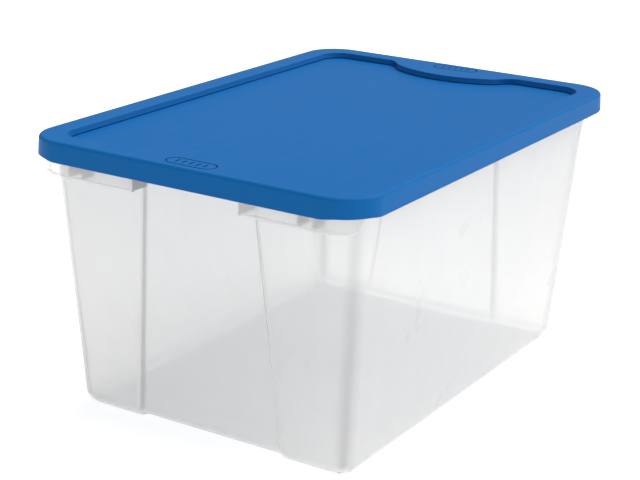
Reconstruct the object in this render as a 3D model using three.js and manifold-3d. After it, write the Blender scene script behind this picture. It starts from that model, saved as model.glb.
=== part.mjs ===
// A storage tote: a translucent tub with a rectangular mouth, and the coloured lid that presses
// on to it. Millimetres. X runs along the tote, Y across it and Z up. The origin is on the
// ground, under the middle of the base.
import * as THREE from "three";
import { mergeVertices } from "three/addons/utils/BufferGeometryUtils.js";
import Module from "manifold-3d";

const wasm = await Module();
wasm.setup();

// Driving dimensions.
const LENGTH = 610;
const WIDTH = 412;
const HEIGHT = 312;
const SHEET = 2.4; // thickness of every moulded wall
const FIT = 0.4; // clearance between the tub and the lid

// The lid.
const LID_SKIRT = 22.4; // how far the lid hangs down all round
const LID_CORNER = 46.6; // radius of the lid's corners, seen from above
const LID_SPREAD = 1.2; // how much wider the skirt is at its bottom edge
const LID_EDGE = 3; // radius of the rounding on top
const PAN_BORDER = 28; // width of the raised border around the lid's sunken pan
const PAN_CORNER = 28;
const PAN_DEPTH = 7;
const LEDGE_MIDDLE = 237.5; // from the centre to the bowed ledge at each end of the pan
const LEDGE_RADIUS = 125;
const LEDGE_HALF = 66; // half the length of the bow, across the tote
const LEDGE_FOOT = 92; // from the centre line to where the ledge meets the pan's end
const LEDGE_EASE = [8, 10]; // how far the shoulder runs on straight, by the bow and by the foot

// The tub.
const BASE_HALF_X = 251.9;
const BASE_HALF_Y = 172.2;
const DRAFT_X = 0.0741; // outward slope of the end walls
const DRAFT_Y = 0.0648; // outward slope of the side walls
const TUB_CORNER = 18;
const BASE_EDGE = 14; // radius of the rounding around the base
const RECESS_LOW = { half: 90, depth: 6.5 }; // sunken panel of each end wall, at the ground
const RECESS_HIGH = { half: 64, depth: 1.5 }; // the same panel at the rim
const RECESS_SLOPE = 4; // width of the panel's slanted borders

// The rim, and the grip skirts that hang from it around the four corners.
const SKIRT_HALF_X = 295;
const SKIRT_HALF_Y = 199;
const SKIRT_CORNER = 40;
const SKIRT_BOTTOM = 273;
const SKIRT_FROM_Y = 65; // each skirt starts here, beside the middle of the end wall
const SKIRT_TO_X = 270; // and ends here, just round the corner
const WEBS_Y = [66.2, 132, 149.5]; // ribs between the skirt and the end wall
const WEB_END_X = 271; // the rib that closes the skirt's other end
const LIP_DEPTH = 7; // lip under the edge of the rim on the long sides

// Moulded rings on the floor, one near each corner.
const RING_X = 188;
const RING_Y = 80;
const RING_RADIUS = 36;
const RING_SIZE = 2; // width and height of the raised line

const RIM_TOP = HEIGHT - PAN_DEPTH - SHEET - FIT;
const LID_BOTTOM = HEIGHT - LID_SKIRT;
const RIM_HALF_X = LENGTH / 2 - SHEET - LID_SPREAD - FIT;
const RIM_HALF_Y = WIDTH / 2 - SHEET - LID_SPREAD - FIT;
const RIM_CORNER = LID_CORNER - SHEET - LID_SPREAD - FIT;
const OVERSHOOT = 5; // how far a cutting solid reaches past what it cuts
const CORNER_STEPS = 8;
const EDGE_STEPS = 4;
const QUADRANTS = [[1, 1], [-1, 1], [-1, -1], [1, -1]];

const blue = new THREE.MeshStandardMaterial({ color: 0x3071b3, roughness: 0.45, metalness: 0 });
const clear = new THREE.MeshStandardMaterial({
  color: 0xeef1f3, roughness: 0.4, metalness: 0, transparent: true, opacity: 0.4,
});

// A geometry as a solid that can be joined and cut.
function solid(geometry) {
  const bare = geometry.clone();
  bare.deleteAttribute("normal");
  bare.deleteAttribute("uv");
  const merged = mergeVertices(bare, 1e-4);
  return new wasm.Manifold(new wasm.Mesh({
    numProp: 3,
    vertProperties: merged.attributes.position.array,
    triVerts: new Uint32Array(merged.index.array),
  }));
}

// A solid as a named mesh with flat faces.
function mesh(name, shape, material) {
  const { vertProperties, triVerts } = shape.getMesh();
  const indexed = new THREE.BufferGeometry();
  indexed.setAttribute("position", new THREE.BufferAttribute(vertProperties, 3));
  indexed.setIndex(new THREE.BufferAttribute(triVerts, 1));
  const geometry = indexed.toNonIndexed();
  geometry.computeVertexNormals();
  const made = new THREE.Mesh(geometry, material);
  made.name = name;
  return made;
}

const joined = (solids) => solids.reduce((whole, piece) => whole.add(piece));

// An outline between two heights.
function prism(outline, bottom, top) {
  const geometry = new THREE.ExtrudeGeometry(new THREE.Shape(outline), {
    depth: top - bottom, bevelEnabled: false,
  });
  return solid(geometry.translate(0, 0, bottom));
}

// An outline carried up through several heights. place(x, y, z) moves each of its points there.
function loft(outline, heights, place) {
  const steps = heights.length - 1;
  const geometry = new THREE.ExtrudeGeometry(new THREE.Shape(outline), {
    depth: steps, steps, bevelEnabled: false,
  });
  const position = geometry.attributes.position;
  for (let i = 0; i < position.count; i++) {
    const z = heights[Math.round(position.getZ(i))];
    const [x, y] = place(position.getX(i), position.getY(i), z);
    position.setXYZ(i, x, y, z);
  }
  return solid(geometry);
}

function box(x0, x1, y0, y1, z0, z1) {
  const geometry = new THREE.BoxGeometry(x1 - x0, y1 - y0, z1 - z0);
  return solid(geometry.translate((x0 + x1) / 2, (y0 + y1) / 2, (z0 + z1) / 2));
}

// The round corner of a rectangle in one quadrant, anticlockwise.
function cornerPoints(halfX, halfY, radius, quadrant) {
  const [signX, signY] = QUADRANTS[quadrant];
  return Array.from({ length: CORNER_STEPS + 1 }, (_, step) => {
    const angle = (quadrant + step / CORNER_STEPS) * (Math.PI / 2);
    return new THREE.Vector2(
      signX * (halfX - radius) + radius * Math.cos(angle),
      signY * (halfY - radius) + radius * Math.sin(angle),
    );
  });
}

const roundedRectangle = (halfX, halfY, radius) =>
  [0, 1, 2, 3].flatMap((quadrant) => cornerPoints(halfX, halfY, radius, quadrant));

// A rounded rectangle whose two ends are replaced by other points. endPoints runs along the +X
// end from -Y to +Y.
function withEnds(halfX, halfY, radius, endPoints) {
  const corner = (quadrant) => cornerPoints(halfX, halfY, radius, quadrant);
  const farEnd = endPoints.map((p) => new THREE.Vector2(-p.x, -p.y));
  return [...corner(0), ...corner(1), ...farEnd, ...corner(2), ...corner(3), ...endPoints];
}

// How far a rounding of the given radius stands in, at a height above its start.
const roundingInset = (radius, height) =>
  height >= radius ? 0 : radius - Math.sqrt(radius ** 2 - (radius - height) ** 2);

// Heights that follow a rounding of the given radius up from the height start.
const roundingHeights = (radius, start) =>
  Array.from({ length: EDGE_STEPS + 1 }, (_, step) =>
    start + radius * (1 - Math.cos((step / EDGE_STEPS) * (Math.PI / 2))));

// The body of the tub, or the space inside it, drawn inside the outer surface by an inset. The
// sunken panels of the end walls narrow and get shallower towards the rim.
function tubBody(inset, bottom, top) {
  const halfX = BASE_HALF_X - inset;
  const halfY = BASE_HALF_Y - inset;
  const edge = BASE_EDGE - inset;
  const { depth } = RECESS_LOW;
  const evenWall = (inset * (Math.hypot(depth, RECESS_SLOPE) - RECESS_SLOPE)) / depth;
  const half = RECESS_LOW.half + evenWall;
  const panel = [
    new THREE.Vector2(halfX, -half - RECESS_SLOPE),
    new THREE.Vector2(halfX - depth, -half),
    new THREE.Vector2(halfX - depth, half),
    new THREE.Vector2(halfX, half + RECESS_SLOPE),
  ];
  const outline = withEnds(halfX, halfY, TUB_CORNER - inset, panel);
  const narrowing = (z) => ((RECESS_LOW.half - RECESS_HIGH.half) * z) / RIM_TOP;
  const flattening = (z) => ((RECESS_LOW.depth - RECESS_HIGH.depth) * z) / RIM_TOP;
  const place = (x, y, z) => {
    const inPanel = Math.abs(y) < half + RECESS_SLOPE + 1;
    const sunken = inPanel && Math.abs(y) < half + 1;
    const round = roundingInset(edge, z - bottom);
    const outX = DRAFT_X * z - round + (sunken ? flattening(z) : 0);
    const outY = inPanel ? -narrowing(z) : DRAFT_Y * z - round;
    return [x + Math.sign(x) * outX, y + Math.sign(y) * outY];
  };
  return loft(outline, [...roundingHeights(edge, bottom), top], place);
}

// The flat rim around the mouth, with a shallow lip under its edge on the long sides.
function rim() {
  const edge = roundedRectangle(RIM_HALF_X, RIM_HALF_Y, RIM_CORNER);
  const inside = roundedRectangle(RIM_HALF_X - SHEET, RIM_HALF_Y - SHEET, RIM_CORNER - SHEET);
  const underside = RIM_TOP - SHEET;
  const flange = prism(edge, underside, RIM_TOP);
  const lip = prism(edge, underside - LIP_DEPTH, RIM_TOP - SHEET / 2)
    .subtract(prism(inside, underside - LIP_DEPTH - OVERSHOOT, underside + SHEET / 4));
  const longSides = box(
    -SKIRT_TO_X, SKIRT_TO_X, -WIDTH, WIDTH, underside - LIP_DEPTH - OVERSHOOT, RIM_TOP,
  );
  return flange.add(lip.intersect(longSides));
}

// The curtain under the rim, around the four corners: it and the webs behind it make the grips.
function gripSkirts() {
  const top = RIM_TOP - SHEET / 2;
  const outer = roundedRectangle(SKIRT_HALF_X, SKIRT_HALF_Y, SKIRT_CORNER);
  const inner = roundedRectangle(
    SKIRT_HALF_X - SHEET, SKIRT_HALF_Y - SHEET, SKIRT_CORNER - SHEET,
  );
  const low = SKIRT_BOTTOM - OVERSHOOT;
  const curtain = prism(outer, SKIRT_BOTTOM, top)
    .subtract(prism(inner, low, top + OVERSHOOT))
    .subtract(box(-LENGTH, LENGTH, -SKIRT_FROM_Y, SKIRT_FROM_Y, low, top + OVERSHOOT))
    .subtract(box(-SKIRT_TO_X, SKIRT_TO_X, -WIDTH, WIDTH, low, top + OVERSHOOT));
  const reach = prism(outer, SKIRT_BOTTOM, top);
  const webs = QUADRANTS.flatMap(([signX, signY]) => [
    ...WEBS_Y.map((y) => box(
      Math.min(signX * BASE_HALF_X, signX * LENGTH), Math.max(signX * BASE_HALF_X, signX * LENGTH),
      signY * y - SHEET / 2, signY * y + SHEET / 2, SKIRT_BOTTOM, top,
    )),
    box(
      signX * WEB_END_X - SHEET / 2, signX * WEB_END_X + SHEET / 2,
      Math.min(signY * BASE_HALF_Y, signY * WIDTH), Math.max(signY * BASE_HALF_Y, signY * WIDTH),
      SKIRT_BOTTOM, top,
    ),
  ]);
  return curtain.add(joined(webs).intersect(reach));
}

// A raised ring on the floor.
function floorRing(x, y) {
  const top = SHEET + RING_SIZE;
  const profile = [
    new THREE.Vector2(RING_RADIUS, SHEET / 2),
    new THREE.Vector2(RING_RADIUS + RING_SIZE, SHEET / 2),
    new THREE.Vector2(RING_RADIUS + RING_SIZE, top),
    new THREE.Vector2(RING_RADIUS, top),
    new THREE.Vector2(RING_RADIUS, SHEET / 2),
  ];
  const geometry = new THREE.LatheGeometry(profile, 4 * CORNER_STEPS);
  return solid(geometry.rotateX(Math.PI / 2).translate(x, y, 0));
}

function tub() {
  const body = tubBody(0, 0, RIM_TOP);
  const space = tubBody(SHEET, SHEET, RIM_TOP + OVERSHOOT);
  const rings = QUADRANTS.map(([signX, signY]) => floorRing(signX * RING_X, signY * RING_Y));
  return joined([body, rim(), gripSkirts()]).subtract(space).add(joined(rings));
}

// The +X end of the pan: a ledge that bows inwards, with a slanting shoulder on each side.
function ledgePoints(halfX, grown) {
  const centre = LEDGE_MIDDLE + LEDGE_RADIUS;
  const radius = LEDGE_RADIUS - grown;
  const sweep = Math.asin(LEDGE_HALF / LEDGE_RADIUS);
  const bow = new THREE.EllipseCurve(
    centre, 0, radius, radius, Math.PI + sweep, Math.PI - sweep, true,
  ).getPoints(2 * CORNER_STEPS);
  const bowEnd = bow.at(-1);
  const foot = new THREE.Vector2(halfX, LEDGE_FOOT + grown);
  const shoulder = new THREE.CubicBezierCurve(
    bowEnd,
    new THREE.Vector2(
      bowEnd.x + LEDGE_EASE[0] * Math.sin(sweep),
      bowEnd.y + LEDGE_EASE[0] * Math.cos(sweep),
    ),
    new THREE.Vector2(foot.x, foot.y - LEDGE_EASE[1]),
    foot,
  ).getPoints(EDGE_STEPS).slice(1);
  const mirrored = shoulder.map((p) => new THREE.Vector2(p.x, -p.y)).reverse();
  return [...mirrored, ...bow, ...shoulder];
}

// The sunken pan's outline, grown outwards.
function panOutline(grown) {
  const halfX = LENGTH / 2 - PAN_BORDER + grown;
  const halfY = WIDTH / 2 - PAN_BORDER + grown;
  return withEnds(halfX, halfY, PAN_CORNER + grown, ledgePoints(halfX, grown));
}

// The lid's body, or the space under it, drawn inside the outer surface by an inset. It is
// rounded along its top edge and spreads a little towards the bottom.
function lidBody(inset, bottom, top) {
  const edge = LID_EDGE - inset > 0 ? LID_EDGE - inset : 0;
  const outline = roundedRectangle(
    LENGTH / 2 - LID_SPREAD - inset, WIDTH / 2 - LID_SPREAD - inset, LID_CORNER - LID_SPREAD - inset,
  );
  const heights = edge ? roundingHeights(edge, 0).map((h) => top - h).reverse() : [top];
  return loft(outline, [bottom, ...heights], (x, y, z) => {
    const spread = (LID_SPREAD * (HEIGHT - z)) / LID_SKIRT;
    const out = spread - roundingInset(edge, top - z);
    return [x + Math.sign(x) * out, y + Math.sign(y) * out];
  });
}

function lid() {
  const under = HEIGHT - SHEET;
  const panFloor = HEIGHT - PAN_DEPTH;
  const shell = lidBody(0, LID_BOTTOM, HEIGHT)
    .subtract(lidBody(SHEET, LID_BOTTOM - OVERSHOOT, under));
  const pan = prism(panOutline(SHEET), panFloor - SHEET, HEIGHT - SHEET / 2);
  return shell.add(pan).subtract(prism(panOutline(0), panFloor, HEIGHT + OVERSHOOT));
}

const tote = new THREE.Group();
tote.add(mesh("tub", tub(), clear), mesh("lid", lid(), blue));

export default tote;
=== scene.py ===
"""A translucent storage tote with a blue press-on lid, on a light table in soft studio light."""
import math

import bmesh
import bpy
from mathutils import Matrix, Vector


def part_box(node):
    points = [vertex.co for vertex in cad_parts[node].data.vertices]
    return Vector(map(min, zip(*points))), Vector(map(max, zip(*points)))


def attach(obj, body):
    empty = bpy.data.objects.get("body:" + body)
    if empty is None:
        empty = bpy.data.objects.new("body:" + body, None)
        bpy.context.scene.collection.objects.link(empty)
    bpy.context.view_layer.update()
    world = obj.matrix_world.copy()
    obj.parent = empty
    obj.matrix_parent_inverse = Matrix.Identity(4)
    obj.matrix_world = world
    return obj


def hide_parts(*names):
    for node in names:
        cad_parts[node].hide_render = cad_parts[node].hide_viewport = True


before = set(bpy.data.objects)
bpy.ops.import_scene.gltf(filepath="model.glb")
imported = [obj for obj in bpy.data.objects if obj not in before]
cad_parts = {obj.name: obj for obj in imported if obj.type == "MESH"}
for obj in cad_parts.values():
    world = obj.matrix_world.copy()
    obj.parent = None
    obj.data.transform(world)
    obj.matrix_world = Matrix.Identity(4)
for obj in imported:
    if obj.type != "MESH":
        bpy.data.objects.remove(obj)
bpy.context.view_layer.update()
lid_low, lid_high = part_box("lid")
tub_low, tub_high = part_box("tub")

MM = 0.001
TOP = lid_high.z
LID_BOTTOM = lid_low.z
RIM_TOP = tub_high.z
HALF_LENGTH = lid_high.x
HALF_WIDTH = lid_high.y
SHEET = 2.4 * MM  # thickness of every moulded wall
FIT = 0.4 * MM  # gap between the lid and the rim inside it

# Lid, as in the frame.
LID_CORNER = 46.6 * MM
LID_SPREAD = 1.2 * MM
LID_EDGE = 3.4 * MM
LIFT = 1.8 * MM  # how much higher the lower edge is at the corners
LIFT_HEIGHT = 8 * MM  # how far up the skirt that is felt
LIFT_SHARPNESS = 2.2
PAN_BORDER = 28 * MM
PAN_CORNER = 28 * MM
PAN_DEPTH = 7 * MM
PAN_SLOPE = 0.8 * MM
PAN_EDGE = 1.3 * MM
LEDGE_MIDDLE = 237.5 * MM
LEDGE_RADIUS = 125 * MM
LEDGE_HALF = 66 * MM
LEDGE_FOOT = 92 * MM
LEDGE_EASE = (8 * MM, 10 * MM)  # how far the shoulder runs on straight, by the bow and by the foot
BADGE_MIDDLE = HALF_LENGTH - 21.5 * MM
BADGE_HALF_LENGTH = 30 * MM
BADGE_HALF_WIDTH = 11 * MM
BAR_PITCH = 8.5 * MM
BAR_HALF_LENGTH = 5 * MM
BAR_HALF_WIDTH = 1 * MM
GROOVE = 1.7 * MM
GROOVE_DEPTH = 1.2 * MM

# Tub, as in the frame.
BASE_HALF_X = 251.9 * MM
BASE_HALF_Y = 172.2 * MM
DRAFT_X = 0.0741
DRAFT_Y = 0.0648
TUB_CORNER = 18 * MM
BASE_EDGE = 14 * MM
PANEL_LOW = (90 * MM, 6.5 * MM)  # half width and depth of the end wall's sunken panel at the ground
PANEL_HIGH = (64 * MM, 1.5 * MM)  # and at the rim
PANEL_SLOPE = 4 * MM
PANEL_PARTS = (-0.4, 0, 0.15, 0.3, 0.5, 0.7, 0.85, 1, 1.15, 1.4)  # where its border has points
PANEL_CLEAR = 4 * MM  # how far off the border the evenly spaced points start
SHOULDER_X = 238 * MM  # faint step near both ends of the long walls
SHOULDER_LOW = 226 * MM
SHOULDER_OUT = 0.5 * MM
SHOULDER_WIDTH = 5 * MM
RIM_INSET = SHEET + LID_SPREAD + FIT  # from the lid's lower edge to the rim's edge
RIM_ROUND = 0.9 * MM
RIM_SOFT = 1.5 * MM  # rounding where the wall meets the rim
FLOOR_BORDER = 4 * MM  # a ring of points this far inside each floor keeps its shading even

SKIRT_HALF_X = 295 * MM
SKIRT_HALF_Y = 199 * MM
SKIRT_CORNER = 40 * MM
SKIRT_BOTTOM = 273 * MM
SKIRT_FROM_Y = 65 * MM
SKIRT_TO_X = 270 * MM
SKIRT_BEAD = 0.7 * MM  # how much thicker the skirt's bottom edge is
SKIRT_BEAD_TOP = (2.2 * MM, 3.4 * MM)  # where the bead starts to thin, and where it ends
SKIRT_TURN = 15 * MM  # how far its bottom edge turns up at the far end
WEBS_Y = (66.2 * MM, 132 * MM, 149.5 * MM)
LIP_DEPTH = 7 * MM

RING_X = 188 * MM
RING_Y = 80 * MM
RING_RADIUS = 36 * MM
RING_SIZE = 2 * MM

# How much denser and greyer the plastic looks in places, for thicker plastic and for painted shade,
# or paler, for painted light and a painted highlight, 0 to 1.
ON_WALL = 2 * MM  # anything further out than this from the wall is the rim, a skirt or a web
END_WALL_DEPTH = 10 * MM
STEP_AT = (0.35, 0.35)  # middle and spread of the dark line of thicker plastic and painted shade, across the panel's border
STEP_PAINTED_HIGHLIGHT_AT = (1.0, 0.25)
CORNER_AT = (math.radians(38), math.radians(24))
CORNER_FADE = 0.7
# painted shade on the tub's floor under the lid, with its thicker plastic
FLOOR_THICK_AND_SHADE = 0.56
FLOOR_THICK_AND_SHADE_TO = 3 * MM
UPPER_THICK = 0.17
# painted shade along the end panel's border, with its thicker plastic
STEP_THICK_AND_SHADE = 0.7
# painted highlight along the outer edge of the end panel's border
STEP_PAINTED_HIGHLIGHT = 1.0
# painted shade in a band up each corner, nearer the end wall, with its thicker plastic
CORNER_THICK_AND_SHADE = 0.5
# painted shade on the ribs behind the skirts, where the lid's shadow falls
WEB_PAINTED_SHADE = 0.9
# painted light on the rounding round the base, where light from the floor falls
FILLET_PAINTED_LIGHT = 0.6
FILLET_PAINTED_LIGHT_AT = 7 * MM
FILLET_PAINTED_LIGHT_TO = 4 * MM
# painted light along the skirts' bottom edges, which the lid shades
SKIRT_PAINTED_LIGHT = 0.7
SKIRT_PAINTED_LIGHT_TO = 4 * MM

CORNER_STEPS = 14
EDGE_STEPS = 6
WALL_STEPS = 14
SIDE_STEPS = 12
SMOOTH_ANGLE = math.radians(30)
QUADRANTS = ((1, 1), (-1, 1), (-1, -1), (1, -1))


# ---- Outlines, anticlockwise from +X ------------------------------------------------------------

def smooth(t):
    t = min(max(t, 0.0), 1.0)
    return t * t * (3 - 2 * t)


def corner_points(half_x, half_y, radius, quadrant):
    sign_x, sign_y = QUADRANTS[quadrant]
    centre = Vector((sign_x * (half_x - radius), sign_y * (half_y - radius)))
    angles = [(quadrant + i / CORNER_STEPS) * math.pi / 2 for i in range(CORNER_STEPS + 1)]
    return [centre + radius * Vector((math.cos(a), math.sin(a))) for a in angles]


def turned(points):
    return [-p for p in points]


def full_outline(half_x, half_y, radius, side, end):
    """A rounded rectangle with points along its +Y side, from +X to -X, and its +X end, from -Y
    to +Y. The opposite side and end are the same, turned round."""
    corners = [corner_points(half_x, half_y, radius, q) for q in range(4)]
    return [
        *corners[0], *side, *corners[1], *turned(end),
        *corners[2], *turned(side), *corners[3], *end,
    ]


def side_points(half_x, half_y, radius, count):
    reach = half_x - radius
    return [Vector((reach * (1 - 2 * i / count), half_y)) for i in range(1, count)]


# ---- Meshes ---------------------------------------------------------------------------------------

def mesh_object(name, points, faces):
    mesh = bpy.data.meshes.new(name)
    mesh.from_pydata(points, [], faces)
    form = bmesh.new()
    form.from_mesh(mesh)
    bmesh.ops.recalc_face_normals(form, faces=form.faces)
    form.to_mesh(mesh)
    form.free()
    made = bpy.data.objects.new(name, mesh)
    bpy.context.scene.collection.objects.link(made)
    return made


def lofted(name, rings, looped=False):
    """A closed skin through rings of 3-D points. If looped, the last ring joins the first.
    If not, both are capped."""
    count = len(rings[0])
    points = [p for ring in rings for p in ring]
    faces = []
    for row in range(len(rings) if looped else len(rings) - 1):
        here, there = row * count, (row + 1) % len(rings) * count
        for i in range(count):
            j = (i + 1) % count
            faces.append((here + i, here + j, there + j, there + i))
    if not looped:
        faces.append(tuple(reversed(range(count))))
        faces.append(tuple(range(len(points) - count, len(points))))
    return mesh_object(name, points, faces)


def raised(outline, z):
    return [Vector((p.x, p.y, z)) for p in outline]


def box_object(name, low, high):
    corners = [(low[0], low[1]), (high[0], low[1]), (high[0], high[1]), (low[0], high[1])]
    return lofted(name, [[Vector((x, y, z)) for x, y in corners] for z in (low[2], high[2])])


def bevelled(target, width):
    modifier = target.modifiers.new("bevel", "BEVEL")
    modifier.width = width
    modifier.segments = 2
    modifier.limit_method = "ANGLE"
    modifier.angle_limit = math.radians(40)
    return apply_modifiers(target)


def apply_modifiers(target):
    graph = bpy.context.evaluated_depsgraph_get()
    target.data = bpy.data.meshes.new_from_object(target.evaluated_get(graph))
    target.modifiers.clear()
    return target


def boolean(target, others, operation):
    """Joins the others to the target, or cuts them out of it, and removes them."""
    tools = bpy.data.collections.new("tools")
    for other in others:
        tools.objects.link(other)
    modifier = target.modifiers.new("boolean", "BOOLEAN")
    modifier.operation = operation
    modifier.solver = "EXACT"
    modifier.operand_type = "COLLECTION"
    modifier.collection = tools
    apply_modifiers(target)
    for other in others:
        bpy.data.objects.remove(other)
    bpy.data.collections.remove(tools)
    return target


def finished(target, material):
    """Smooth shading that keeps the flat faces flat."""
    target.data.materials.clear()
    target.data.materials.append(material)
    for face in target.data.polygons:
        face.use_smooth = True
        face.material_index = 0
    target.data.set_sharp_from_angle(angle=SMOOTH_ANGLE)
    weighted = target.modifiers.new("weighted normals", "WEIGHTED_NORMAL")
    weighted.keep_sharp = True
    weighted.weight = 90
    return target


# ---- The tub --------------------------------------------------------------------------------------

def between(low, high, z):
    return low + (high - low) * z / RIM_TOP


def rounding(radius, height):
    """How far a rounding stands in, at a height above its start."""
    return 0.0 if height >= radius else radius - math.sqrt(radius**2 - (radius - height) ** 2)


def rounding_heights(radius):
    return [radius * (1 - math.cos(i / EDGE_STEPS * math.pi / 2)) for i in range(EDGE_STEPS + 1)]


def tub_end(half_x, half_y, radius, z, inset=0.0):
    """The end wall at height z from -Y to +Y, with its sunken panel."""
    depth = between(PANEL_LOW[1], PANEL_HIGH[1], z)
    even_wall = inset * (math.hypot(depth, PANEL_SLOPE) - PANEL_SLOPE) / depth
    panel = between(PANEL_LOW[0], PANEL_HIGH[0], z) + even_wall
    reach = half_y - radius
    middle = [Vector((half_x - depth, (panel - PANEL_CLEAR) * i / 3)) for i in range(4)]
    slope = []
    for part in PANEL_PARTS:
        eased = 0.5 * (smooth(part) + min(max(part, 0.0), 1.0))
        slope.append(Vector((half_x - depth * (1 - eased), panel + PANEL_SLOPE * part)))
    outside = panel + PANEL_SLOPE + PANEL_CLEAR
    strip = [Vector((half_x, outside + (reach - outside) * i / 3)) for i in range(3)]
    half = middle + slope + strip
    mirrored = [Vector((p.x, -p.y)) for p in reversed(half[1:])]
    return mirrored + half


def tub_side(half_x, half_y, radius, z):
    """The long wall at height z from +X to -X, with the faint step near both ends."""
    reach = half_x - radius
    out = SHOULDER_OUT * smooth((z - SHOULDER_LOW) / (RIM_TOP - SHOULDER_LOW))
    half = [Vector((SHOULDER_X * i / 6, half_y)) for i in range(6)]
    for i in range(5):
        part = i / 4
        half.append(Vector((SHOULDER_X + SHOULDER_WIDTH * (part - 0.5), half_y + out * smooth(part))))
    half.append(Vector(((SHOULDER_X + SHOULDER_WIDTH + reach) / 2, half_y + out * 0.6)))
    mirrored = [Vector((-p.x, p.y)) for p in half[1:]]
    return list(reversed(half)) + mirrored


def tub_ring(inset, z):
    """A ring round the wall at height z, inset from its outside."""
    half_x = BASE_HALF_X + DRAFT_X * z - inset
    half_y = BASE_HALF_Y + DRAFT_Y * z - inset
    radius = TUB_CORNER - inset
    side = tub_side(half_x, half_y, radius, z)
    end = tub_end(half_x, half_y, radius, z, max(inset, 0.0))
    return raised(full_outline(half_x, half_y, radius, side, end), z)


def base_rings(inset, bottom):
    """Rings up the rounding around the base, on the outside or the inside of the wall."""
    edge = BASE_EDGE - inset
    corner = TUB_CORNER - inset
    return [
        raised(base_outline(inset, edge, corner, height, bottom), bottom + height)
        for height in rounding_heights(edge)
    ]


def base_outline(inset, edge, corner, height, bottom):
    """The wall's outline at a height above the bottom of the rounding around the base."""
    z = bottom + height
    into = rounding(edge, height)
    half_x = BASE_HALF_X + DRAFT_X * z - inset - into
    half_y = BASE_HALF_Y + DRAFT_Y * z - inset - into
    side = tub_side(half_x, half_y, corner, z)
    end = tub_end(half_x, half_y, corner, z, inset)
    return full_outline(half_x, half_y, corner, side, end)


def rim_ring(inset, z):
    """A ring round the rim's outer edge, with as many points as the wall has."""
    half_x, half_y = HALF_LENGTH - RIM_INSET - inset, HALF_WIDTH - RIM_INSET - inset
    radius = LID_CORNER - RIM_INSET - inset
    wall_x = BASE_HALF_X + DRAFT_X * z
    wall_y = BASE_HALF_Y + DRAFT_Y * z
    side = [
        Vector((p.x / (wall_x - TUB_CORNER) * (half_x - radius), half_y))
        for p in tub_side(wall_x, wall_y, TUB_CORNER, z)
    ]
    end = [
        Vector((half_x, p.y / (wall_y - TUB_CORNER) * (half_y - radius)))
        for p in tub_end(wall_x, wall_y, TUB_CORNER, z)
    ]
    return raised(full_outline(half_x, half_y, radius, side, end), z)


def wall_heights(bottom, top):
    return [bottom + (top - bottom) * i / WALL_STEPS for i in range(1, WALL_STEPS)]


def tub_body():
    """The tub's skin: up the outside, round the rim and down the inside."""
    underside = RIM_TOP - SHEET
    partly = 0.3  # where each rounding has its middle point
    rings = [raised(base_outline(FLOOR_BORDER, BASE_EDGE, TUB_CORNER, 0, 0), 0)]
    rings += base_rings(0, 0)
    rings += [tub_ring(0, z) for z in wall_heights(BASE_EDGE, underside - RIM_SOFT)]
    rings += [
        tub_ring(0, underside - RIM_SOFT),
        tub_ring(-RIM_SOFT * partly, underside - RIM_SOFT * partly),
        tub_ring(-RIM_SOFT, underside),
        rim_ring(RIM_ROUND, underside),
        rim_ring(RIM_ROUND * partly, underside + RIM_ROUND * partly),
        rim_ring(0, underside + RIM_ROUND),
        rim_ring(0, RIM_TOP - RIM_ROUND),
        rim_ring(RIM_ROUND * partly, RIM_TOP - RIM_ROUND * partly),
        rim_ring(RIM_ROUND, RIM_TOP),
        tub_ring(SHEET - RIM_SOFT, RIM_TOP),
        tub_ring(SHEET - RIM_SOFT * partly, RIM_TOP - RIM_SOFT * partly),
        tub_ring(SHEET, RIM_TOP - RIM_SOFT),
    ]
    rings += [tub_ring(SHEET, z) for z in reversed(wall_heights(BASE_EDGE, underside - RIM_SOFT))]
    rings += reversed(base_rings(SHEET, SHEET))
    inner = base_outline(SHEET + FLOOR_BORDER, BASE_EDGE - SHEET, TUB_CORNER - SHEET, 0, SHEET)
    rings.append(raised(inner, SHEET))
    return lofted("tub_body", rings)


def skirt_path(inset):
    """Points round the +X+Y corner, from the end wall's middle to the long side."""
    half_x, half_y, radius = SKIRT_HALF_X - inset, SKIRT_HALF_Y - inset, SKIRT_CORNER - inset
    straight = half_y - radius - SKIRT_FROM_Y
    path = [Vector((half_x, SKIRT_FROM_Y + straight * i / 8)) for i in range(8)]
    return path + [p for p in corner_points(half_x, half_y, radius, 0) if p.x > SKIRT_TO_X]


def skirt(sign_x, sign_y):
    """The curtain round one corner: a bead along its bottom edge, which turns up at the far end."""
    top = RIM_TOP - SHEET / 2
    thin, end = SKIRT_BEAD_TOP
    soft = 0.3 * MM
    outer, inner = -SKIRT_BEAD, SHEET + SKIRT_BEAD
    section = [  # how far in, and how far above the bottom edge or, with None, at the top
        (soft, 0.0), (inner - soft, 0.0), (inner, 0.4 * MM),
        (inner, thin), (SHEET, end), (SHEET, None),
        (0.0, None), (0.0, end), (outer, thin), (outer, 0.4 * MM),
    ]
    paths = [skirt_path(inset) for inset, _ in section]
    count = min(len(path) for path in paths)
    rings = []
    for i in range(count):
        lift = SKIRT_TURN * smooth((i - count + 4) / 3)
        ring = []
        for (_, height), path in zip(section, paths):
            z = top if height is None else SKIRT_BOTTOM + height + lift
            ring.append(Vector((sign_x * path[i].x, sign_y * path[i].y, min(z, top))))
        rings.append(ring)
    return lofted("skirt", rings)


def webs(sign_x, sign_y):
    """The ribs between one skirt and the end wall."""
    top = RIM_TOP - SHEET / 2
    low_x = BASE_HALF_X + DRAFT_X * SKIRT_BOTTOM - SHEET / 2
    xs = sorted((sign_x * low_x, sign_x * (SKIRT_HALF_X - SHEET / 2)))
    made = []
    for y in WEBS_Y:
        ys = sorted((sign_y * y - SHEET / 2, sign_y * y + SHEET / 2))
        made.append(box_object("web", (xs[0], ys[0], SKIRT_BOTTOM + 0.5 * MM), (xs[1], ys[1], top)))
    return [bevelled(web, 0.4 * MM) for web in made]


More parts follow.
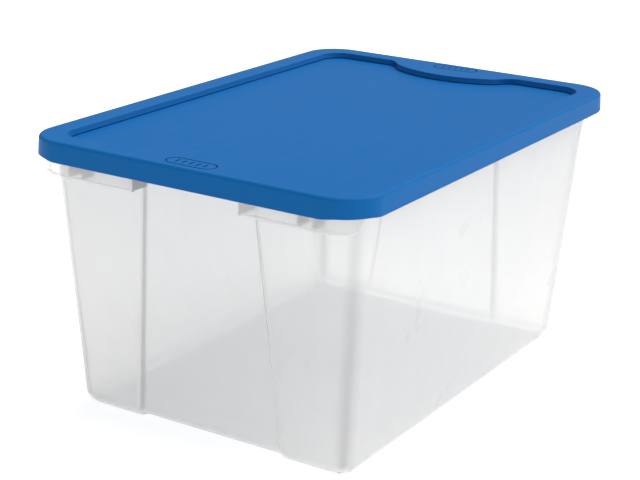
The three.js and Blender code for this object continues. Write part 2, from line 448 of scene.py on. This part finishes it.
def lip(sign_y):
    """The lip under the rim's edge on one long side."""
    outside = HALF_WIDTH - RIM_INSET
    ys = sorted((sign_y * (outside - SHEET), sign_y * outside))
    low = RIM_TOP - SHEET - LIP_DEPTH
    reach = HALF_LENGTH - LID_CORNER - 2 * MM
    made = box_object("lip", (-reach, ys[0], low), (reach, ys[1], RIM_TOP - SHEET / 2))
    return bevelled(made, 0.5 * MM)


def lathe(name, section, centre, steps=64):
    """A closed section of (radius, height) points turned round a vertical axis."""
    rings = []
    for radius, height in section:
        angles = [2 * math.pi * i / steps for i in range(steps)]
        rings.append([
            Vector((centre[0] + radius * math.cos(a), centre[1] + radius * math.sin(a), height))
            for a in angles
        ])
    return lofted(name, rings, looped=True)


def floor_ring(sign_x, sign_y):
    low, top, round_off = SHEET / 2, SHEET + RING_SIZE * 0.6, 0.6 * MM
    inner, outer = RING_RADIUS, RING_RADIUS + RING_SIZE
    section = [
        (inner, low), (outer, low), (outer, top - round_off),
        (outer - round_off, top), (inner + round_off, top), (inner, top - round_off),
    ]
    return lathe("floor_ring", section, (sign_x * RING_X, sign_y * RING_Y))


def bell(x, middle, width):
    """1 at the middle, falling away smoothly on both sides."""
    return math.exp(-(((x - middle) / width) ** 2))


def thickness_shade_and_light_at(p):
    """How much thicker the plastic is at a point, with painted shade added in, 0 to 1, and how much
    light is painted on it, with a painted highlight along the panel's border.
    """
    half_x, half_y = BASE_HALF_X + DRAFT_X * p.z, BASE_HALF_Y + DRAFT_Y * p.z
    if abs(p.x) > half_x + ON_WALL or abs(p.y) > half_y + ON_WALL:
        # painted light along the skirts' bottom edges
        return 0.0, SKIRT_PAINTED_LIGHT * (1 - smooth((p.z - SKIRT_BOTTOM) / SKIRT_PAINTED_LIGHT_TO))
    # painted shade on the floor under the lid, with its thicker plastic
    thick_and_shade = FLOOR_THICK_AND_SHADE * (1 - smooth(p.z / FLOOR_THICK_AND_SHADE_TO)) + UPPER_THICK * p.z / RIM_TOP
    # painted light on the rounding round the base
    white = FILLET_PAINTED_LIGHT * bell(p.z, FILLET_PAINTED_LIGHT_AT, FILLET_PAINTED_LIGHT_TO)
    panel = between(PANEL_LOW[0], PANEL_HIGH[0], p.z)
    part = (abs(p.y) - panel) / PANEL_SLOPE
    if half_x - abs(p.x) < END_WALL_DEPTH and abs(p.y) < half_y - TUB_CORNER:
        # painted shade along the panel's border, with its thicker plastic
        thick_and_shade += STEP_THICK_AND_SHADE * bell(part, *STEP_AT)
        # painted highlight along the outer edge of the panel's border
        white += STEP_PAINTED_HIGHLIGHT * bell(part, *STEP_PAINTED_HIGHLIGHT_AT)
    out_x, out_y = abs(p.x) - half_x + TUB_CORNER, abs(p.y) - half_y + TUB_CORNER
    if out_x > 0 and out_y > 0:
        # painted shade in a band up each corner, with its thicker plastic, fading towards the rim
        fading = 1 - CORNER_FADE * p.z / RIM_TOP
        thick_and_shade += CORNER_THICK_AND_SHADE * bell(math.atan2(out_y, out_x), *CORNER_AT) * fading
    return min(thick_and_shade, 1.0), min(white, 1.0)


def is_web(face):
    """Whether a face is a side of one of the ribs behind the skirts, which get painted shade."""
    centre = face.center
    beyond = abs(centre.x) - BASE_HALF_X - DRAFT_X * centre.z
    beside = min(abs(abs(centre.y) - y) for y in WEBS_Y)
    return centre.z > SKIRT_BOTTOM and beyond > 0 and beside < SHEET and abs(face.normal.y) > 0.9


def mark_thickness_shade_and_light(target):
    """Two values at every face's corners, which the material reads: thickness with painted shade, and
    painted light.
    """
    mesh = target.data
    thick_and_shade = mesh.attributes.new("thick_and_shade", "FLOAT", "CORNER")
    white = mesh.attributes.new("white", "FLOAT", "CORNER")
    for face in mesh.polygons:
        web = is_web(face)
        for corner in face.loop_indices:
            values = thickness_shade_and_light_at(mesh.vertices[mesh.loops[corner].vertex_index].co)
            # painted shade on the ribs, where the lid's shadow falls
            thick_and_shade.data[corner].value = WEB_PAINTED_SHADE if web else values[0]
            white.data[corner].value = 0.0 if web else values[1]


def make_tub(material):
    body = tub_body()
    extras = [floor_ring(*signs) for signs in QUADRANTS]
    extras += [skirt(*signs) for signs in QUADRANTS]
    for signs in QUADRANTS:
        extras += webs(*signs)
    extras += [lip(1), lip(-1)]
    boolean(body, extras, "UNION")
    mark_thickness_shade_and_light(body)
    body.name = "tub_shell"
    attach(body, "tub")
    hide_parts("tub")
    return finished(body, material)


# ---- The lid --------------------------------------------------------------------------------------

def ledge(half_x, grown):
    """The +X end of the lid's pan from -Y to +Y: a bow with a slanting shoulder on each side."""
    centre = LEDGE_MIDDLE + LEDGE_RADIUS
    radius = LEDGE_RADIUS - grown
    sweep = math.asin(LEDGE_HALF / LEDGE_RADIUS)
    bow_steps, shoulder_steps, straight_steps = 12, 10, 4
    half = []
    for i in range(bow_steps + 1):
        angle = sweep * i / bow_steps
        half.append(Vector((centre - radius * math.cos(angle), radius * math.sin(angle))))
    start = half[-1]
    foot = Vector((half_x, LEDGE_FOOT + grown))
    handles = (
        start + LEDGE_EASE[0] * Vector((math.sin(sweep), math.cos(sweep))),
        foot - Vector((0, LEDGE_EASE[1])),
    )
    for i in range(1, shoulder_steps + 1):
        t = i / shoulder_steps
        half.append(
            (1 - t) ** 3 * start + 3 * (1 - t) ** 2 * t * handles[0]
            + 3 * (1 - t) * t**2 * handles[1] + t**3 * foot
        )
    reach = HALF_WIDTH - PAN_BORDER - PAN_CORNER
    for i in range(1, straight_steps):
        half.append(Vector((half_x, foot.y + (reach - foot.y) * i / straight_steps)))
    mirrored = [Vector((p.x, -p.y)) for p in reversed(half[1:])]
    return mirrored + half


def pan_ring(grown, z):
    """A ring round the pan at height z, outwards from its edge."""
    half_x = HALF_LENGTH - PAN_BORDER + grown
    half_y = HALF_WIDTH - PAN_BORDER + grown
    radius = PAN_CORNER + grown
    side = side_points(half_x, half_y, radius, SIDE_STEPS)
    return raised(full_outline(half_x, half_y, radius, side, ledge(half_x, grown)), z)


def edge_ring(inset, z):
    """A ring round the lid at height z, inset from its outside, which spreads downwards."""
    spread = LID_SPREAD * (TOP - z) / (TOP - LID_BOTTOM)
    into = LID_SPREAD + inset - spread
    half_x, half_y, radius = HALF_LENGTH - into, HALF_WIDTH - into, LID_CORNER - into
    side = side_points(half_x, half_y, radius, SIDE_STEPS)
    end = [Vector((half_x, p.y)) for p in ledge(HALF_LENGTH - PAN_BORDER, 0)]
    ring = raised(full_outline(half_x, half_y, radius, side, end), z)
    low = max(0.0, 1 - (z - LID_BOTTOM) / LIFT_HEIGHT)
    for point in ring:
        out_x = (abs(point.x) - half_x + radius) / radius
        out_y = (abs(point.y) - half_y + radius) / radius
        if out_x > 0 and out_y > 0:
            point.z += LIFT * low * smooth(LIFT_SHARPNESS * min(out_x, out_y))
    return ring


def arc(radius, steps=EDGE_STEPS):
    """Pairs that go round a quarter circle: (how far in, how far down), from flat to upright."""
    angles = [i / steps * math.pi / 2 for i in range(steps + 1)]
    return [(radius * (1 - math.sin(a)), radius * (1 - math.cos(a))) for a in angles]


def lid_body():
    """The lid's skin: from under the pan, out round the skirt and back to the pan's floor."""
    pan_floor = TOP - PAN_DEPTH
    under = TOP - SHEET
    soft = 1.2 * MM
    rings = [pan_ring(SHEET - PAN_SLOPE - soft * 2, pan_floor - SHEET)]
    rings += [
        pan_ring(SHEET - PAN_SLOPE - inward, pan_floor - SHEET + down)
        for inward, down in arc(soft, 3)
    ]
    rings += [pan_ring(SHEET, under - soft), pan_ring(SHEET + soft, under)]
    rings += [edge_ring(SHEET + soft, under), edge_ring(SHEET, under - soft)]
    rings += [edge_ring(SHEET, z) for z in (under - 8 * MM, LID_BOTTOM + 0.8 * MM)]
    rings += [edge_ring(SHEET - 0.8 * MM, LID_BOTTOM), edge_ring(0.8 * MM, LID_BOTTOM)]
    rings += [edge_ring(0, LID_BOTTOM + 0.8 * MM), edge_ring(0, LID_BOTTOM + 2 * MM)]
    rings += [edge_ring(0, TOP - LID_EDGE - 1 * MM)]
    rings += [edge_ring(inward, TOP - down) for inward, down in reversed(arc(LID_EDGE))]
    rings += [edge_ring(LID_EDGE + 1 * MM, TOP), pan_ring(PAN_EDGE + 1 * MM, TOP)]
    rings += [pan_ring(inward, TOP - down) for inward, down in arc(PAN_EDGE)]
    rings += [
        pan_ring(-PAN_SLOPE - PAN_EDGE + inward, pan_floor + down)
        for inward, down in reversed(arc(PAN_EDGE))
    ]
    rings += [pan_ring(-PAN_SLOPE - PAN_EDGE - 1 * MM, pan_floor)]
    return lofted("lid_body", rings)


def stadium(half_length, half_width, steps=16):
    """A stadium outline that lies along Y, anticlockwise."""
    reach = half_length - half_width
    points = []
    for end in (0, 1):
        for i in range(steps + 1):
            a = math.pi * (end + i / steps)
            middle = reach if end == 0 else -reach
            points.append(Vector((half_width * math.cos(a), middle + half_width * math.sin(a))))
    return points


def badge_cutters(sign):
    """A plain stadium line and five short bars, to be cut into one end of the lid."""
    low, high = TOP - GROOVE_DEPTH, TOP + 2 * MM
    shift = Vector((sign * BADGE_MIDDLE, 0))
    outer = [p + shift for p in stadium(BADGE_HALF_LENGTH, BADGE_HALF_WIDTH)]
    inner = [p + shift for p in stadium(BADGE_HALF_LENGTH - GROOVE, BADGE_HALF_WIDTH - GROOVE)]
    frame_line = lofted(
        "badge_line",
        [raised(outer, low), raised(outer, high), raised(inner, high), raised(inner, low)],
        looped=True,
    )
    cutters = [frame_line]
    for i in range(-2, 3):
        middle = shift + Vector((0, i * BAR_PITCH))
        bar = [middle + Vector((p.y, -p.x)) for p in stadium(BAR_HALF_LENGTH, BAR_HALF_WIDTH, 6)]
        cutters.append(lofted("badge_bar", [raised(bar, low), raised(bar, high)]))
    return cutters


def mark_painted_shade(target):
    """One value at every face's corners, which the material reads as painted shade: 1 on the steep
    faces of the pan and of the badge, which it darkens, and 0.7 on the floor of the badge's groove."""
    mesh = target.data
    painted_shade = mesh.attributes.new("painted_shade", "FLOAT", "CORNER")
    for face in mesh.polygons:
        centre = face.center
        in_pan = abs(centre.x) < HALF_LENGTH - PAN_BORDER and abs(centre.y) < HALF_WIDTH - PAN_BORDER
        in_badge = (
            abs(abs(centre.x) - BADGE_MIDDLE) < BADGE_HALF_WIDTH and abs(centre.y) < BADGE_HALF_LENGTH
        )
        inside = in_pan or in_badge
        upper = centre.z > TOP - PAN_DEPTH - 0.1 * MM
        # painted shade on the steep faces of the pan and the badge
        for corner in face.loop_indices:
            steep = 1 - mesh.corner_normals[corner].vector.z if inside and upper else 0.0
            painted_shade.data[corner].value = min(max(steep, 0.0), 1.0)
        # painted shade on the floor of the badge's groove
        bottom = abs(centre.z - TOP + GROOVE_DEPTH) < 0.1 * MM
        if in_badge and bottom and face.normal.z > 0.5:
            for corner in face.loop_indices:
                painted_shade.data[corner].value = 0.7


def make_lid(material):
    body = lid_body()
    boolean(body, badge_cutters(1) + badge_cutters(-1), "DIFFERENCE")
    mark_painted_shade(body)
    body.name = "lid_shell"
    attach(body, "lid")
    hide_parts("lid")
    return finished(body, material)


# ---- Materials ------------------------------------------------------------------------------------

class Nodes:
    """A short way to add and join a material's nodes."""

    def __init__(self, name):
        self.material = bpy.data.materials.new(name)
        self.material.use_nodes = True
        self.tree = self.material.node_tree
        self.tree.nodes.clear()
        self.output = self.tree.nodes.new("ShaderNodeOutputMaterial")
        self.place = self.tree.nodes.new("ShaderNodeTexCoord").outputs["Object"]

    def add(self, kind, settings=None, **inputs):
        node = self.tree.nodes.new("ShaderNode" + kind)
        for key, value in (settings or {}).items():
            setattr(node, key, value)
        for key, value in inputs.items():
            by_number = key[1:].isdigit()
            socket = node.inputs[int(key[1:]) if by_number else key.replace("_", " ")]
            if isinstance(value, bpy.types.NodeSocket):
                self.tree.links.new(value, socket)
            else:
                socket.default_value = value
        return node

    def noise(self, scale, detail=3.0, roughness=0.5, stretch=None):
        place = self.place
        if stretch:
            place = self.add("Mapping", Vector=self.place, Scale=stretch).outputs[0]
        node = self.add("TexNoise", Vector=place, Scale=scale, Detail=detail, Roughness=roughness)
        return node.outputs[0]

    def ramp(self, value, low, high):
        """From low to high as a noise goes through its middle range."""
        node = self.add(
            "MapRange", {"clamp": True}, Value=value, From_Min=0.3, From_Max=0.7,
            To_Min=low, To_Max=high,
        )
        return node.outputs[0]

    def bump(self, height, distance, strength=1.0, normal=None):
        inputs = {"Height": height, "Distance": distance, "Strength": strength}
        if normal:
            inputs["Normal"] = normal
        return self.add("Bump", None, **inputs).outputs[0]

    def blend(self, value, low, high):
        node = self.add("Mix", {"data_type": "RGBA"}, Factor=value)
        node.inputs[6].default_value = (*low, 1)
        node.inputs[7].default_value = (*high, 1)
        return node.outputs[2]

    def finish(self, shader):
        self.tree.links.new(shader.outputs[0], self.output.inputs["Surface"])
        return self.material


PLASTIC_IOR = 1.49
LID_GLOSS = 0.07
LID_TONES = (0.0035, 0.116, 0.360), (0.0041, 0.119, 0.368)
PAINTED_SHADE_TONE = (0.004, 0.085, 0.285)  # painted shade: the lid's colour on its steep faces and in the badge's groove
HAZE = 0.29  # how opaque one surface of the tub's wall is
HAZE_CHANGE = 0.008
PALE_TONES = (0.955, 0.952, 0.945), (0.975, 0.972, 0.965)
THICK_AND_SHADE_TONE = (0.42, 0.415, 0.41)  # the tub where it is thick or seen edge on, and where shade is painted
CLEAR_TINT = (0.992, 0.989, 0.981, 1)
# What each of the two values on the mesh, thickness with painted shade and painted light, and the
# view along the surface, adds to the opacity.
EDGE_OPACITY = 0.35
THICK_AND_SHADE_OPACITY = 0.35
PAINTED_LIGHT_OPACITY = 0.4


def lid_material():
    """Blue polypropylene: a fine stipple from the mould, faint flow marks, soft gloss and painted
    shade on the steep faces of its pan and badge.
    """
    n = Nodes("lid_blue_plastic")
    stipple = n.noise(2600, 2)
    waves = n.noise(9, 2)
    flow = n.noise(30, 4, 0.6, (0.35, 1.6, 1.0))
    normal = n.bump(waves, 0.15 * MM, 0.5)
    normal = n.bump(stipple, 0.05 * MM, 0.5, normal)
    colour = n.blend(n.ramp(flow, 0, 1), *LID_TONES)
    # painted shade on the steep faces, read from the mesh
    painted_shade = n.add("Attribute", {"attribute_name": "painted_shade"}).outputs["Fac"]
    mix = n.add("Mix", {"data_type": "RGBA"}, Factor=painted_shade)
    mix.inputs[7].default_value = (*PAINTED_SHADE_TONE, 1)
    n.tree.links.new(colour, mix.inputs[6])
    shader = n.add(
        "BsdfPrincipled", None, Base_Color=mix.outputs[2], Roughness=n.ramp(flow, 0.42, 0.48),
        Normal=normal,
    )
    shader.inputs["IOR"].default_value = PLASTIC_IOR
    shader.inputs["Specular IOR Level"].default_value = LID_GLOSS
    return n.finish(shader)


def tub_material():
    """Natural polypropylene: mostly see-through, greyer where it is thick or seen edge on and where
    shade is painted, paler where light is painted.
    """
    n = Nodes("tub_clear_plastic")
    cloud = n.noise(14, 3, 0.5)
    flow = n.noise(40, 3, 0.6, (1.0, 1.0, 0.25))
    stipple = n.noise(1800, 2)
    normal = n.bump(cloud, 0.15 * MM, 0.5)
    normal = n.bump(stipple, 0.03 * MM, 0.4, normal)
    # the plastic's thickness with painted shade, and painted light with a painted highlight, read
    # from the mesh
    thick_and_shade = n.add("Attribute", {"attribute_name": "thick_and_shade"}).outputs["Fac"]
    white = n.add("Attribute", {"attribute_name": "white"}).outputs["Fac"]
    facing = n.add("LayerWeight", None, Blend=0.35).outputs["Facing"]
    edge = n.add("Math", {"operation": "POWER"}, _0=facing, _1=3.0).outputs[0]
    grey = n.add("Math", {"operation": "MULTIPLY_ADD"}, _0=edge, _1=0.5, _2=thick_and_shade).outputs[0]
    grey = n.add("Math", {"operation": "SUBTRACT", "use_clamp": True}, _0=grey, _1=white)
    pale = n.blend(n.ramp(flow, 0, 1), *PALE_TONES)
    tone = n.add("Mix", {"data_type": "RGBA"}, Factor=grey.outputs[0])
    tone.inputs[7].default_value = (*THICK_AND_SHADE_TONE, 1)
    n.tree.links.new(pale, tone.inputs[6])
    body = n.add(
        "BsdfPrincipled", None, Base_Color=tone.outputs[2], Roughness=n.ramp(cloud, 0.27, 0.33),
        Normal=normal,
    )
    body.inputs["IOR"].default_value = PLASTIC_IOR
    inside = n.add("BsdfTranslucent", None, Color=tone.outputs[2], Normal=normal)
    milk = n.add("MixShader", None, Fac=0.5, _1=body.outputs[0], _2=inside.outputs[0])
    clear = n.add("BsdfTransparent", None, Color=CLEAR_TINT)
    opacity = n.ramp(cloud, HAZE - HAZE_CHANGE, HAZE + HAZE_CHANGE)
    for value, share in ((edge, EDGE_OPACITY), (thick_and_shade, THICK_AND_SHADE_OPACITY), (white, PAINTED_LIGHT_OPACITY)):
        opacity = n.add(
            "Math", {"operation": "MULTIPLY_ADD", "use_clamp": value is white},
            _0=value, _1=share, _2=opacity,
        ).outputs[0]
    surface = n.add("MixShader", None, Fac=opacity, _1=clear.outputs[0], _2=milk.outputs[0])
    return n.finish(surface)


def floor_material():
    """A light table: white acrylic that glows a little."""
    n = Nodes("studio_floor")
    tone = n.blend(n.ramp(n.noise(3, 2), 0, 1), (0.59, 0.59, 0.59), (0.61, 0.61, 0.61))
    white = n.add("BsdfDiffuse", None, Color=tone)
    glow = n.add("Emission", None, Strength=FLOOR_GLOW)
    return n.finish(n.add("AddShader", None, _0=white.outputs[0], _1=glow.outputs[0]))


# ---- The studio -----------------------------------------------------------------------------------

CAMERA_AZIMUTH = math.radians(-58.663)
CAMERA_ELEVATION = math.radians(18.163)
CAMERA_ROLL = math.radians(1.716)
CAMERA_DISTANCE = 1.8694
CAMERA_TARGET = Vector((-0.0294, 0.0031, 0.1644))
CAMERA_LENS = 91.87
WORLD_LIGHT = 0.40  # how bright the world is as a lamp
BACKDROP = 1.0  # and as the white background of a picture
KEY_LIGHT = 3.3
KEY_SOFTNESS = math.radians(70)
KEY_FROM = Vector((0.38, -0.32, 0.87))
FLOOR_GLOW = 0.68
FLOOR_SIZE = 12.0
FLOOR_DEPTH = 0.02
FLOOR_GAP = 0.0004  # keeps the tub's underside clear of the floor


def make_camera():
    a, e = CAMERA_AZIMUTH, CAMERA_ELEVATION
    back = Vector((math.sin(a) * math.cos(e), -math.cos(a) * math.cos(e), math.sin(e)))
    right = Vector((math.cos(a), math.sin(a), 0))
    up = back.cross(right)
    c, s = math.cos(CAMERA_ROLL), math.sin(CAMERA_ROLL)
    rows = Matrix((c * right + s * up, c * up - s * right, back))
    camera = bpy.data.objects.new("camera", bpy.data.cameras.new("camera"))
    camera.data.lens = CAMERA_LENS
    camera.data.sensor_width = 36
    camera.matrix_world = Matrix.Translation(CAMERA_TARGET + back * CAMERA_DISTANCE) @ (
        rows.transposed().to_4x4()
    )
    bpy.context.scene.collection.objects.link(camera)
    bpy.context.scene.camera = camera


def make_studio():
    scene = bpy.context.scene
    scene.view_settings.view_transform = "Standard"
    scene.cycles.transparent_max_bounces = 24
    world = bpy.data.worlds.new("studio")
    world.use_nodes = True
    nodes, links = world.node_tree.nodes, world.node_tree.links
    seen = nodes.new("ShaderNodeLightPath").outputs["Is Camera Ray"]
    level = nodes.new("ShaderNodeMapRange")
    level.inputs["To Min"].default_value = WORLD_LIGHT
    level.inputs["To Max"].default_value = BACKDROP
    links.new(seen, level.inputs["Value"])
    links.new(level.outputs[0], nodes["Background"].inputs["Strength"])
    nodes["Background"].inputs["Color"].default_value = (1, 1, 1, 1)
    scene.world = world
    sun = bpy.data.objects.new("key", bpy.data.lights.new("key", "SUN"))
    sun.data.energy = KEY_LIGHT
    sun.data.angle = KEY_SOFTNESS
    sun.rotation_euler = KEY_FROM.to_track_quat("Z", "Y").to_euler()
    scene.collection.objects.link(sun)
    corners = [Vector((x * FLOOR_SIZE, y * FLOOR_SIZE)) for x, y in QUADRANTS]
    floor = lofted("floor", [raised(corners, z) for z in (-FLOOR_DEPTH, -FLOOR_GAP)])
    floor.data.materials.append(floor_material())


make_camera()
make_studio()
make_tub(tub_material())
make_lid(lid_material())
